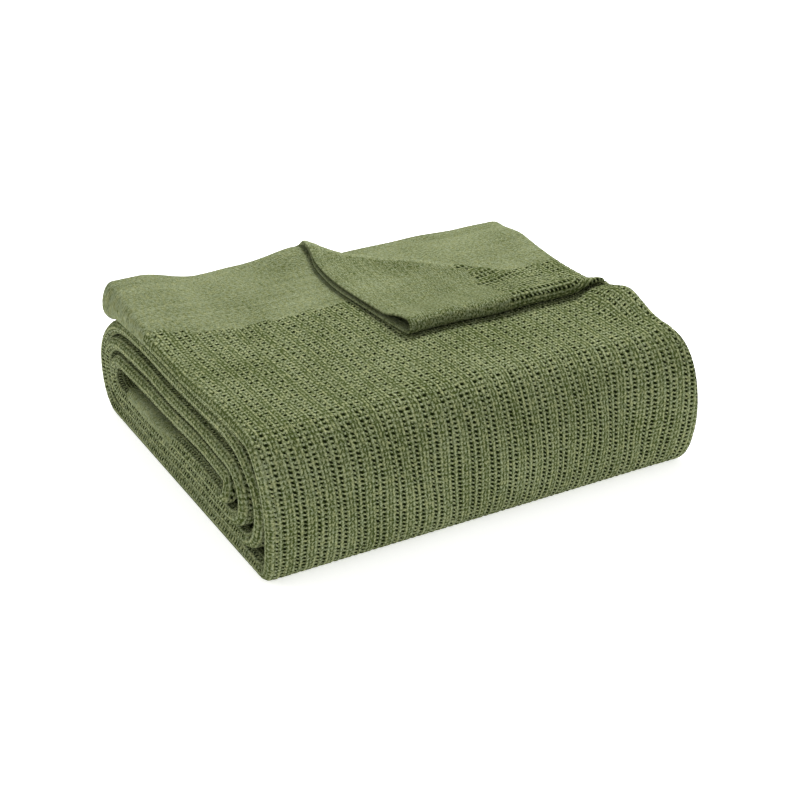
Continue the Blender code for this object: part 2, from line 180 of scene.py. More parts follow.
def pair_openings(x, s):
    """How far ply 1 rises and ply 2 drops at a distance s from the hem."""
    from_fold = np.maximum(HALF_FOLD_X - x, 0)
    past_crease = (x - CREASE_X - s) / np.sqrt(2) - np.pi * CREASE_RADIUS
    on_flap = smooth(past_crease / FLAP_BLEND)
    at_fold = HALF_FOLD_OPENING * smooth(1 - from_fold / HALF_FOLD_REACH)
    at_hem = HEM_OPENING * smooth(1 - s / HEM_REACH)
    fall = smooth((FLAP_SIZE + SHOULDER_LENGTH - s) / SHOULDER_FALL)
    before_crease = smooth((s + CREASE_X - x) / SHOULDER_REACH)
    bulge = HALF_FOLD_SLACK + SHOULDER_LIFT * fall * before_crease
    return bulge * smooth(1 - from_fold / SHOULDER_REACH), on_flap * np.maximum(at_fold, at_hem)


def across(span, f, s):
    """x and height over the strip's middle, at the share f of a span."""
    place = span // 2
    ply, end = CLOTH_RUN[place], PLY_END[place]
    flat = span % 2 == 0
    ply_x = mix(PLY_START[place], end, f)
    rise, drop = pair_openings(np.where(flat, ply_x, end), s)
    first = level(ply) + rise * (ply == 1) - drop * ((ply == 2) & flat)
    last = level(NEXT_PLY[place]) - drop * (ply == 1)
    half = (first - last) / 2
    outwards = np.where(RIGHTWARDS[place], 1, -1)
    fold_x = end + outwards * np.abs(half) * np.sin(np.pi * f)
    fold_height = (first + last) / 2 + half * np.cos(np.pi * f)
    return np.where(flat, ply_x, fold_x), np.where(flat, first, fold_height)


def open_corner(x, height, s):
    """The folds at the back left stand open."""
    beside = smooth(1 + CORNER_LEVEL - (x - LEFT_FOLD_X) / CORNER_WIDTH)
    rising = beside * smooth(1 - s / CORNER_LENGTH)
    swell = np.minimum(x - LEFT_FOLD_X, 0) * CORNER_SWELL * rising
    dropping = beside * smooth(1 - s / CORNER_DROP_LENGTH)
    share = np.where(height > 0, CORNER_RISE * rising, CORNER_DROP * dropping)
    return x + swell, height * (1 + share)


def rest_bare(x, height, s, outer_fold):
    """The plies that the turned corner bares: they sag at the hem, most at the back right."""
    clear = smooth((x - CREASE_X - s) / BARE_SAG_BLEND)
    inside = smooth((RIGHT_FOLD_X - x) / BARE_CORNER_WIDTH)
    sag = BARE_SAG * clear * inside * smooth(1 - s / BARE_SAG_LENGTH)
    rising = smooth(1 - s / BARE_CORNER_LENGTH)
    swell = np.where(outer_fold, (x - RIGHT_FOLD_X) * BARE_CORNER_SWELL * rising, 0)
    lift = BARE_CORNER_LIFT * smooth(1 - s / BARE_CORNER_LIFT_LENGTH)
    drop = BARE_CORNER_DROP * smooth(1 - s / BARE_CORNER_DROP_LENGTH)
    return x + swell, height - sag + (lift - drop) * (1 - inside)


def turn_over(x, height, s):
    """The outer pair's corner rolled back over the crease."""
    past = (x - CREASE_X - s) / np.sqrt(2)
    middle_height = (level(1) + level(2)) / 2
    over = height - middle_height
    turned = past - np.pi * CREASE_RADIUS
    angle = past / CREASE_RADIUS
    rolled_shift = (CREASE_RADIUS - over) * np.sin(angle) - past
    rolled_height = middle_height + CREASE_RADIUS - (CREASE_RADIUS - over) * np.cos(angle)
    settled = smooth(turned / FLAP_BLEND)
    laid_height = middle_height + mix(2 * CREASE_RADIUS, FLAP_REST, settled) - over
    bow = np.sin(np.pi * np.clip((x - CREASE_X) / FLAP_SIZE, 0, 1))
    bowed = HEM_BOW * bow * smooth(1 - s / HEM_REACH) * settled
    rolling, laid = past > 0, turned >= 0
    shift = np.where(laid, -turned - past, np.where(rolling, rolled_shift, 0))
    height = np.where(laid, laid_height, np.where(rolling, rolled_height, height))
    x = x - np.where(laid, bowed, 0) + shift / np.sqrt(2)
    s = s - shift / np.sqrt(2)
    for peak_x, peak_s, lift, reach in CREASE_PEAKS:
        height = height + lift * smooth(1 - np.hypot(x - peak_x, s - peak_s) / reach)
    return x, height, s


# ---- Along the roll


def bezier(a, b, c, d, t):
    u = 1 - t
    point = a * u**3 + 3 * b * t * u * u + 3 * c * t * t * u + d * t**3
    slope = (b - a) * u * u + 2 * (c - b) * t * u + (d - c) * t * t
    return point, slope / np.linalg.norm(slope, axis=1, keepdims=True)


def trace_roll():
    """The middle line as a table: length so far, y, z, direction, slide, share of the front bend."""
    t = np.linspace(0, 1, BEND_STEPS)[:, None]
    tables = []
    for number, row in enumerate(ROLL):
        start, end = np.array(row[0:2]), np.array(row[2:4])
        way = (end - start) / np.linalg.norm(end - start)
        flat = np.repeat([[*way, row[6], float(number > 0)]], 2, axis=0)
        tables.append(np.hstack([np.array([start, end]), flat]))
        if number + 1 < len(ROLL):
            after = ROLL[number + 1]
            d, after_end = np.array(after[0:2]), np.array(after[2:4])
            after_way = (after_end - d) / np.linalg.norm(after_end - d)
            point, slope = bezier(end, end + way * row[4], d - after_way * after[5], d, t)
            slide = mix(row[6], after[6], smooth(t))
            bend = t if number == 0 else np.ones_like(t)
            tables.append(np.hstack([point, slope, slide, bend]))
    table = np.vstack(tables)
    steps = np.linalg.norm(np.diff(table[:, :2], axis=0), axis=1)
    return np.column_stack([np.concatenate([[0], np.cumsum(steps)]), table])


def past_the_end(table):
    """The table with one more row, further on along the last pass."""
    beyond = table[-1].copy()
    beyond[:3] += PAST_END * np.array((1, *table[-1, 3:5]))
    return np.vstack([table, beyond])


TRACED = trace_roll()
ROLL_LENGTH = float(TRACED[-1, 0])
ROLL_TABLE = past_the_end(TRACED)
PASS_STARTS = TRACED[:: BEND_STEPS + 2, 0]
BEND_STARTS = TRACED[2 :: BEND_STEPS + 2, 0]

# Places along the roll, and where they would be if the rows of the weave were even
EVEN_PLACES = np.array((0, HEADER - LEFT_NARROWING, TOP_LENGTH, PASS_STARTS[1], 2 * ROLL_LENGTH))
ROW_PLACES = EVEN_PLACES - np.array((0, 0, TOP_STRETCH, 0, 0))


def middle(span, f, v):
    """The cloth's middle surface: one row for each v, one column for each (span, f)."""
    s = v[:, None]
    x, height = across(span, f, s)
    x, height = open_corner(x, height, s)
    turned = turn_over(x, height, s)
    bare_x, bare_height = rest_bare(x, height, s, span == RIGHT_NOSE)
    outer = (span >= PLY_1) & (span <= PLY_2)
    x, height = np.where(outer, turned[0], bare_x), np.where(outer, turned[1], bare_height)
    s = np.where(outer, turned[2], s)
    y, z, way_y, way_z, slide, bend = (
        np.interp(v, ROLL_TABLE[:, 0], column)[:, None] for column in ROLL_TABLE[:, 1:].T
    )
    on_top = v[:, None] < TOP_LENGTH
    bulge = END_BULGE * np.sin(np.pi * bend)
    beside = smooth(1 - (RIGHT_FOLD_X - x) / END_BULGE_WIDTH)
    return np.stack(
        [
            x + slide + bulge * beside,
            np.where(on_top, ROLL[0][0] - s, y + way_z * height),
            np.where(on_top, ROLL[0][1] + height, z - way_y * height),
        ],
        axis=-1,
    ) - ROLL_CENTRE


# ---- Unevenness: the whole roll is warped a little, so that layers keep their distance

WAVES = (
    # size, turns per metre along x, y and z, phase
    (0.55, 6.5, 3.0, 4.0, 0.4),
    (0.35, -4.0, 9.0, 7.0, 2.1),
    (0.30, 13.0, -5.0, 11.0, 4.0),
    (0.18, -19.0, 12.0, -15.0, 1.2),
)
WARPS = (
    # axis, size, phase
    (2, 1.1 * MM, 0.0),
    (0, 1.3 * MM, 1.9),
    (1, 1.0 * MM, 4.4),
)
HELD_HEIGHT = 50 * MM  # the warp wears off towards the surface on which the roll rests


def wave(p, turn):
    total = 0
    for size, kx, ky, kz, phase in WAVES:
        angle = 2 * np.pi * (kx * p[..., 0] + ky * p[..., 1] + kz * p[..., 2])
        total = total + size * np.sin(angle + phase + turn)
    return total


def warp(p):
    free = smooth(p[..., 2] / HELD_HEIGHT)
    moved = p.copy()
    for axis, size, phase in WARPS:
        moved[..., axis] += size * wave(p, phase) * free
    return moved


# ---- Relief of the weave

WEAVE_SHIFT = 1 / 2 - HOLE_SIDE - (LEFT_END + FIRST_COLUMN_X - LEFT_FOLD_X) / PAIR
WEAVE_SHIFT -= np.floor(WEAVE_SHIFT)


def chance(i, j):
    """A number from 0 to 1 that belongs to the pair of whole numbers (i, j)."""
    value = np.sin(i * 12.9898 + j * 78.233) * 43758.5453
    return value - np.floor(value)


def header_edge(a):
    """How far the header reaches from the hem: less at the left nose and on the flap."""
    at_nose = smooth(1 - np.abs(a - LEFT_END) / NARROWING_REACH)
    on_flap = smooth(1 - (HALF_END - a) / NARROWING_REACH)
    return HEADER - LEFT_NARROWING * at_nose - FLAP_NARROWING * on_flap


def weave_place(a, v):
    """Place in the weave: even columns and rows there are the uneven ones of the roll.

    The half fold is wide open on the flap and takes one more pair there.
    """
    a, v = np.broadcast_arrays(a[None, :], v[:, None])
    past_crease = (FLAP_SIZE - v) / np.sqrt(2) - np.pi * CREASE_RADIUS
    past_fold = np.clip((a - HALF_END) / SPAN_LENGTHS[HALF_FOLD], 0, 1)
    one_more = PAIR * past_fold * smooth(past_crease / FLAP_BLEND)
    x = a - LEFT_END + LEFT_FOLD_X
    at_right = smooth((x - GATHERED_X[0]) / np.diff(GATHERED_X))
    down = smooth((v - GATHERED[0]) / np.diff(GATHERED))
    under = smooth((v - RELEASED[0]) / np.diff(RELEASED))
    gathered = GATHER * at_right * (down - under)
    return a + one_more + gathered, np.interp(v, EVEN_PLACES, ROW_PLACES)


def pits(place, pair, v):
    """Depth of the holes, and of the troughs along their columns."""
    right = place > 0.5
    row = v / HOLE_ROW + right * HOLE_STAGGER
    number = np.floor(row)
    smaller = mix(SMALL_HOLE_ON_TOP, SMALL_HOLE, smooth((v - OPENED[0]) / np.diff(OPENED)))
    size = PIT_SIZE + PIT_VARIETY * chance(pair * 2 + right, number) - smaller * (number % 2)
    hole_a = (np.abs(place - 0.5) - HOLE_SIDE) * PAIR / HOLE_WIDTH
    hole_v = (row - number - 0.5) * HOLE_ROW / HOLE_HEIGHT
    holes = PIT_DEPTH * size * smooth(PIT_EDGE - np.hypot(hole_a, hole_v) / size)
    return holes + TROUGH_DEPTH * smooth(1 - np.abs(hole_a) / TROUGH_WIDTH)


def relief(a, v):
    """Height of the cloth's face over its even surface, in metres."""
    in_pairs = a / PAIR + WEAVE_SHIFT
    pair = np.floor(in_pairs)
    place = in_pairs - pair
    wale = np.round(place * WALES)
    float_row = v / HOLE_ROW / 2 + 0.5 * (wale % 2)
    floats = np.cos(np.pi * (place * WALES - wale)) * np.abs(np.cos(np.pi * float_row)) ** 0.5
    from_end = np.minimum(v, ROLL_LENGTH - v)
    open_mesh = smooth((from_end - header_edge(a)) / HEADER_FADE)
    hem = HEM_EXTRA * smooth((HEM_WIDTH - from_end) / HEM_GROOVE)
    groove = 0.5 * HEM_EXTRA * smooth(1 - np.abs(from_end - HEM_WIDTH) / HEM_GROOVE)
    return open_mesh * (FLOAT_HEIGHT * floats - pits(place, pair, v)) + hem - groove


# ---- The net of each piece


def columns(first, last, step, coarse=()):
    """(span, f, a) from one place across the cloth to another, at even steps of a.

    first and last are (span, distance from the span's start). coarse lists (from, to, step) in
    metres of a, where the cloth is hidden and the steps are longer.
    """
    low, high = (SPAN_STARTS[span] + distance for span, distance in (first, last))
    places = []  # (span, a)
    for span in range(first[0], last[0] + 1):
        begin = max(SPAN_STARTS[span], low)
        end = min(SPAN_STARTS[span] + SPAN_LENGTHS[span], high)
        narrow = SPAN_LENGTHS[span] < FOLD_STEPS * step / 2
        inner = SPAN_LENGTHS[span] / FOLD_STEPS if narrow else step
        even = np.arange(np.ceil(begin / inner), np.floor(end / inner) + 1) * inner
        for coarse_begin, coarse_end, wide in coarse:
            keep = (even < coarse_begin) | (even > coarse_end)
            keep |= np.abs(even / wide - np.round(even / wide)) * wide < inner / 2
            even = even[keep]
        even = even[(even > begin + inner / 4) & (even < end - inner / 4)]
        places += [(span, a) for a in (begin, *even)]
    places.append((last[0], high))
    span = np.array([p[0] for p in places])
    a = np.array([p[1] for p in places])
    f = (a - SPAN_STARTS[span]) / SPAN_LENGTHS[span]
    return span, np.clip(f, 0, 1), a


HEM_ROWS = (
    # distance from the edge in mm, side of the cloth: -1 is its inner face and 1 its outer one
    (14.0, -1.0), (10.5, -1.0), (9.3, -1.0), (8.4, -1.0), (6.0, -1.0), (3.0, -1.0), (1.0, -1.0),
    (0.2, -0.8), (-0.3, -0.3), (-0.3, 0.3), (0.2, 0.8), (1.0, 1.0), (2.2, 1.0),
)


def rows(start, end, step, hem=False, far_hem=False):
    """(v, side) of the net's rows, with a hem at either end. start and end are in ROW_PLACES."""
    row = np.arange(np.ceil(start / step), np.floor(end / step) + 1) * step
    edge = np.array(HEM_ROWS) * (MM, 1)
    if hem:
        row = row[row > edge[-1, 0] + step / 3]
    if far_hem:
        row = row[row < ROLL_LENGTH - edge[-1, 0] - step / 3]
    found = np.column_stack([np.interp(row, ROW_PLACES, EVEN_PLACES), np.ones(len(row))])
    if hem:
        found = np.vstack([edge, found])
    if far_hem:
        found = np.vstack([found, (edge * (-1, 1) + (ROLL_LENGTH, 0))[::-1]])
    return found


def faces_of(shape, keep):
    n, m = shape
    corner = np.arange(n * m).reshape(n, m)
    quads = np.stack([corner[:-1, :-1], corner[1:, :-1], corner[1:, 1:], corner[:-1, 1:]], -1)
    return quads[keep]


def normals(span, f, v):
    share = SLOPE_STEP / SPAN_LENGTHS[span]
    over_a = middle(span, np.minimum(f + share, 1), v) - middle(span, np.maximum(f - share, 0), v)
    over_v = middle(span, f, v + SLOPE_STEP) - middle(span, f, v - SLOPE_STEP)
    normal = np.cross(over_v, over_a)
    return normal / np.linalg.norm(normal, axis=-1, keepdims=True)


def lay(span, f, a, row_list, keep=None):
    """Points, quads, places in the weave, places on the flat cloth and flat area of one net."""
    v, side = row_list[:, 0], row_list[:, 1]
    weave = np.stack(weave_place(a, v), -1)
    height = side[:, None] * (CLOTH / 2 + relief(weave[..., 0], weave[..., 1]))
    point = warp(middle(span, f, v) + normals(span, f, v) * height[..., None])
    point[..., 2] = np.maximum(point[..., 2], 0)  # pressed flat where the roll rests
    kept = np.ones((len(v) - 1, len(a) - 1), bool) if keep is None else keep(span, f, v)
    quads = faces_of(point.shape[:2], kept)
    flat = np.stack(np.broadcast_arrays(a[None, :], v[:, None]), -1)
    area = (kept * np.abs(np.diff(v))[:, None] * np.diff(a)[None, :]).sum()
    return point.reshape(-1, 3), quads, weave.reshape(-1, 2), flat.reshape(-1, 2), area


def join_nets(nets):
    """Points, quads and places in the weave of all the nets, without the points of no quad."""
    points, quads, weaves, offset = [], [], [], 0
    for net_points, net_quads, net_weave, _, _ in nets:
        used = np.unique(net_quads)
        new_index = np.zeros(len(net_points), int)
        new_index[used] = np.arange(len(used))
        points.append(net_points[used])
        weaves.append(net_weave[used])
        quads.append(new_index[net_quads] + offset)
        offset += len(used)
    return np.vstack(points), np.vstack(quads), np.vstack(weaves)


def mesh_of(name, points, quads, weaves):
    mesh = bpy.data.meshes.new(name)
    mesh.vertices.add(len(points))
    mesh.vertices.foreach_set("co", points.astype(np.float32).ravel())
    mesh.loops.add(quads.size)
    mesh.loops.foreach_set("vertex_index", quads.astype(np.int32).ravel())
    mesh.polygons.add(len(quads))
    mesh.polygons.foreach_set("loop_start", np.arange(0, quads.size, 4, dtype=np.int32))
    mesh.update(calc_edges=True)
    layer = mesh.uv_layers.new(name="weave")
    layer.uv.foreach_set("vector", weaves[quads.ravel()].astype(np.float32).ravel())
    mesh.shade_smooth()
    return mesh


def piece(name, nets):
    """One mesh object of one or more nets, with the cloth's material, parented to the root body; the
    solid blanket is hidden.
    """
    mesh = mesh_of(name, *join_nets(nets))
    mesh.materials.append(CLOTH_MATERIAL)
    obj = bpy.data.objects.new(name, mesh)
    bpy.context.scene.collection.objects.link(obj)
    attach(obj, "root")
    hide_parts("blanket")


# ---- The material

# Colours of the cloth, from the bottom of a hole to the top of a yarn. The first is painted shade in
# the holes, and the yarns are painted darker in their hollows and lighter on their tops
HOLE_SHADE = (0.008, 0.013, 0.002, 1)
DARK = (0.052, 0.070, 0.015, 1)
LIGHT = (0.304, 0.344, 0.206, 1)
WARM = (0.304, 0.326, 0.160, 1)

# Noises: features per metre. LENGTHENING is the share of them that is left along the yarns
FUZZ, FLECKS, GRAIN, PATCHES = 1100.0, 640.0, 420.0, 24.0
DASHES, DASH_LENGTHENING = 950.0, 0.35  # across the cloth, in the header
STRIPES, STRIPE_LENGTHENING = 260.0, 0.03  # across the cloth, in the header
STREAKS, STREAK_LENGTHENING = 500.0, 0.3  # along the cloth
FLECK_EDGE, DASH_EDGE, STREAK_EDGE = (0.36, 0.64), (0.35, 0.65), (0.35, 0.7)

# Brightness: 0 is DARK and 1 is LIGHT
PLAIN_BRIGHTNESS, MESH_BRIGHTNESS, MOST_BRIGHTNESS = 0.45, 0.17, 1.5
# Painted shade on the open mesh on top, and a little painted light on it on the front
TOP_PAINTED_SHADE, FRONT_PAINTED_LIGHT = -0.11, 0.02  # of the open mesh
PLAIN_FLECKS, FOLD_FLECKS = 0.06, 0.75  # strength of the flecks in the header

# Finer features of the holes and floats than the relief has
HOLE_SIZE, HOLE_VARIETY, LEAST_HOLE = 0.80, 0.40, 0.2  # shares of the half sizes
HOLE_WANDER = 0.24  # the holes stand unevenly in their rows, by up to this share of one
TOP_HOLE, NOSE_HOLE = 0.12, 0.30  # they are smaller on top and where the left folds press them
PRESSED = (8 * MM, 14 * MM)  # distances from those folds' middle over which it wears off
TOP_SLANT, FRONT_SLANT = 0.40, -0.65  # how much a hole leans, in half heights per half width
# The holes' soft edges, and how far the painted shade around them reaches, as shares of the hole's
# size
HOLE_EDGE, RIM_SHADE_EDGE = (0.75, 1.12), (1.0, 1.7)  # soft edges, as shares of the hole's size
BAND_EDGE = (0.30, 0.42)  # where the band starts, as a share of a pair from its middle
FLOAT_CONTRAST, BAND_FLOAT_CONTRAST = 0.65, 0.35  # and the band's floats have this much more
FLOAT_VARIETY, STITCH_LEAN, STITCH_SHARE = 0.25, 0.7, 0.34
HEADER_EDGE_VARIETY = 5 * MM
PLAIN_PITCH = 1.25 * MM  # between the header's weft threads, along the roll

# The header is coarse and speckled along the half fold, and has a painted highlight on top of the
# corner's crease
FOLD_MIDDLE, FOLD_GRAIN, FOLD_FADE = 8 * MM, 10 * MM, 4 * MM
CREASE_LINE = (  # across plus along the cloth
    FLAP_SIZE + float(SPAN_STARTS[PLY_2]) + PAIR - np.pi * CREASE_RADIUS * np.sqrt(2)
)
# The painted highlight along the crease: full out to the first distance, gone at the second
CREASE_HIGHLIGHT_REACH = (2 * MM, 7 * MM)


class Nodes:
    """Short names for the shader nodes that the cloth uses."""

    def __init__(self, material):
        material.use_nodes = True
        self.tree = material.node_tree
        self.shader = self.tree.nodes["Principled BSDF"]

    def add(self, kind, **settings):
        node = self.tree.nodes.new(kind)
        for name, value in settings.items():
            setattr(node, name, value)
        return node

    def put(self, socket, value):
        if isinstance(value, bpy.types.NodeSocket):
            self.tree.links.new(value, socket)
        else:
            socket.default_value = value

    def math(self, operation, *values):
        node = self.add("ShaderNodeMath", operation=operation)
        for socket, value in zip(node.inputs, values):
            self.put(socket, value)
        return node.outputs[0]

    def away(self, value, middle_value):
        """Distance of a value from a middle one."""
        return self.math("ABSOLUTE", self.math("SUBTRACT", value, middle_value))

    def sum(self, start, *terms):
        """start and the sum of value * strength over the terms (value, strength)."""
        for value, strength in terms:
            start = self.math("MULTIPLY_ADD", value, strength, start)
        return start

    def centred(self, noise):
        return self.math("SUBTRACT", noise, 0.5)

    def cosine(self, value, turns):
        return self.math("COSINE", self.math("MULTIPLY", value, turns * 2 * np.pi))

    def ramp(self, value, low, high, to_low=0.0, to_high=1.0):
        node = self.add("ShaderNodeMapRange", interpolation_type="SMOOTHSTEP")
        for socket, number in zip(node.inputs, (value, low, high, to_low, to_high)):
            self.put(socket, number)
        return node.outputs[0]

    def blend(self, share, low, high):
        """Mix of two colours."""
        node = self.add("ShaderNodeMix", data_type="RGBA")
        self.put(node.inputs[0], share)
        self.put(node.inputs[6], low)
        self.put(node.inputs[7], high)
        return node.outputs[2]

    def mix(self, share, low, high):
        """Mix of two numbers."""
        node = self.add("ShaderNodeMix", data_type="FLOAT")
        self.put(node.inputs[0], share)
        self.put(node.inputs[2], low)
        self.put(node.inputs[3], high)
        return node.outputs[0]

    def scaled(self, place, along_a, along_v):
        node = self.add("ShaderNodeMapping")
        node.inputs["Scale"].default_value = (along_a, along_v, 1.0)
        self.put(node.inputs["Vector"], place)
        return node.outputs[0]

    def noise(self, place, scale, detail=2.0):
        node = self.add("ShaderNodeTexNoise")
        self.put(node.inputs["Vector"], place)
        node.inputs["Scale"].default_value = scale
        node.inputs["Detail"].default_value = detail
        return node.outputs["Fac"]

    def chance(self, i, j):
        """A number from 0 to 1 that belongs to the pair of numbers (i, j)."""
        both = self.add("ShaderNodeCombineXYZ")
        self.put(both.inputs[0], i)
        self.put(both.inputs[1], j)
        node = self.add("ShaderNodeTexWhiteNoise", noise_dimensions="2D")
        self.put(node.inputs["Vector"], both.outputs[0])
        return node.outputs["Value"]


def hole_size(n, a, v, column, number, from_nose):
    on_top = n.math("MULTIPLY", n.ramp(v, *OPENED, 1.0, 0.0), n.math("LESS_THAN", a, HALF_END))
    smaller = n.mix(on_top, -SMALL_HOLE, -SMALL_HOLE_ON_TOP)
    small = n.math("MULTIPLY", n.math("MODULO", number, 2.0), smaller)
    small = n.sum(small, (on_top, -TOP_HOLE))
    small = n.math("ADD", small, n.ramp(from_nose, *PRESSED, -NOSE_HOLE, 0.0))
    size = n.sum(n.math("ADD", small, HOLE_SIZE), (n.chance(column, number), HOLE_VARIETY))
    return n.math("MAXIMUM", size, LEAST_HOLE)


def hole_reach(n, a, v, pair, place, from_nose):
    """Distance from the nearest hole's middle, as a share of the hole's size."""
    right = n.math("GREATER_THAN", place, 0.5)
    column = n.sum(right, (pair, 2.0))
    row = n.sum(n.math("DIVIDE", v, HOLE_ROW), (right, HOLE_STAGGER))
    number = n.math("FLOOR", row)
    from_column = n.math("SUBTRACT", n.away(place, 0.5), HOLE_SIDE)
    hole_a = n.math("MULTIPLY", from_column, PAIR / HOLE_WIDTH)
    rightwards = n.math("MULTIPLY", hole_a, n.sum(-1.0, (right, 2.0)))
    wander = n.sum(-0.5 - HOLE_WANDER / 2, (n.chance(number, column), HOLE_WANDER))
    in_row = n.math("ADD", n.math("SUBTRACT", row, number), wander)
    hole_v = n.math("MULTIPLY", in_row, HOLE_ROW / HOLE_HEIGHT)
    hole_v = n.sum(hole_v, (rightwards, n.ramp(v, *OPENED, TOP_SLANT, FRONT_SLANT)))
    squared = n.math("ADD", n.math("POWER", hole_a, 2.0), n.math("POWER", hole_v, 2.0))
    size = hole_size(n, a, v, column, number, from_nose)
    return n.math("DIVIDE", n.math("SQRT", squared), size)


def twisted_yarn(n, v, pair, place, band):
    """Height of the wales, their floats and the stitches on them."""
    in_wales = n.math("MULTIPLY", place, WALES)
    wale = n.math("ROUND", in_wales)
    in_wale = n.math("SUBTRACT", in_wales, wale)
    shift = n.math("MULTIPLY", n.math("MODULO", wale, 2.0), 0.5)
    shift = n.sum(shift, (n.chance(pair, wale), FLOAT_VARIETY))
    along_float = n.cosine(n.sum(shift, (v, 0.5 / HOLE_ROW)), 0.5)
    along_float = n.math("POWER", n.math("ABSOLUTE", along_float), 0.5)
    contrast = n.sum(FLOAT_CONTRAST, (band, BAND_FLOAT_CONTRAST))
    yarn = n.math("MULTIPLY", n.cosine(in_wale, 0.5), n.mix(contrast, 1.0, along_float))
    lean = n.math("MULTIPLY", n.math("ABSOLUTE", in_wale), STITCH_LEAN)
    stitch = n.cosine(n.sum(lean, (v, 1 / HOLE_ROW)), 1.0)
    return n.sum(yarn, (stitch, STITCH_SHARE))


def is_open(n, a, v, pair, place, from_nose):
    """1 in the open mesh and 0 in the headers. Each column of holes starts a little elsewhere."""
    from_end = n.math("MINIMUM", v, n.math("SUBTRACT", ROLL_LENGTH, v))
    narrow = n.ramp(from_nose, 0.0, NARROWING_REACH, LEFT_NARROWING, 0.0)
    on_flap = n.ramp(a, HALF_END - NARROWING_REACH, HALF_END, 0.0, FLAP_NARROWING)
    column = n.sum(n.math("GREATER_THAN", place, 0.5), (pair, 2.0))
    edge = n.math("SUBTRACT", n.math("SUBTRACT", HEADER, narrow), on_flap)
    edge = n.sum(edge, (n.chance(column, 7.0), HEADER_EDGE_VARIETY))
    return n.math("GREATER_THAN", from_end, edge)


def mesh_weave(n, a, v):
    """Holes, the painted shade around their edges, the yarn's height and the band of the open mesh,
    and where it is.
    """
    from_nose = n.away(a, LEFT_END - SPAN_LENGTHS[LEFT_NOSE] / 2)
    in_pairs = n.sum(WEAVE_SHIFT, (a, 1 / PAIR))
    pair = n.math("FLOOR", in_pairs)
    place = n.math("SUBTRACT", in_pairs, pair)
    band = n.ramp(n.away(place, 0.5), *BAND_EDGE)
    reach = hole_reach(n, a, v, pair, place, from_nose)
    open_mesh = is_open(n, a, v, pair, place, from_nose)
    hole = n.math("MULTIPLY", n.ramp(reach, *HOLE_EDGE, 1.0, 0.0), open_mesh)
    # Painted shade around each hole
    painted_rim_shade = n.ramp(reach, *RIM_SHADE_EDGE, 1.0, 0.0)
    return hole, painted_rim_shade, twisted_yarn(n, v, pair, place, band), band, open_mesh


def plain_tone(n, a, v, plain, dashes, flecks, place):
    """Brightness of the header, without the unevenness of the whole cloth. Its ribs are painted
    lighter on their tops, and the top of the corner's crease has a painted highlight.
    """
    beyond_half = n.ramp(a, HALF_END, HALF_END + FOLD_GRAIN)
    from_crease = n.away(n.math("ADD", a, v), CREASE_LINE)
    # A painted highlight along the top of the corner's crease
    painted_crease_highlight = n.math("MULTIPLY", beyond_half, n.ramp(from_crease, *CREASE_HIGHLIGHT_REACH, 1.0, 0.0))
    from_fold = n.away(a, HALF_END + FOLD_MIDDLE)
    at_fold = n.ramp(from_fold, FOLD_GRAIN, FOLD_GRAIN + FOLD_FADE, 1.0, 0.0)
    stripes = n.noise(n.scaled(place, STRIPE_LENGTHENING, 1.0), STRIPES)
    # The header's ribs are painted lighter on their tops: painted light and shade on the relief
    return n.sum(
        PLAIN_BRIGHTNESS,
        (plain, 0.30),
        (n.centred(dashes), 1.3),
        (n.centred(stripes), 0.5),
        (flecks, n.ramp(at_fold, 0.0, 1.0, PLAIN_FLECKS, FOLD_FLECKS)),
        (at_fold, -0.08),
        (beyond_half, -0.12),
        (painted_crease_highlight, 0.24),
    )


def mesh_tone(n, v, painted_rim_shade, twisted, band, flecks, streaks):
    """Brightness of the open mesh, without the unevenness of the whole cloth. It has painted shade
    around the holes and on top, a little painted light on the front, and the yarns painted lighter
    on their tops.
    """
    # The yarns are painted lighter where they stand high and darker between them: painted light and
    # shade on the relief
    tone = n.sum(MESH_BRIGHTNESS, (twisted, 0.68), (band, -0.20))
    # Painted shade on top, painted light on the front
    tone = n.math("ADD", n.ramp(v, *OPENED, TOP_PAINTED_SHADE, FRONT_PAINTED_LIGHT), tone)
    # The cloth around the holes is darkened: painted shade
    return n.sum(tone, (flecks, 0.55), (painted_rim_shade, -0.33), (n.centred(streaks), 1.2))


def bump(n, height):
    node = n.add("ShaderNodeBump")
    node.inputs["Strength"].default_value = 0.9
    node.inputs["Distance"].default_value = 0.6 * MM
    n.put(node.inputs["Height"], height)
    return node.outputs[0]


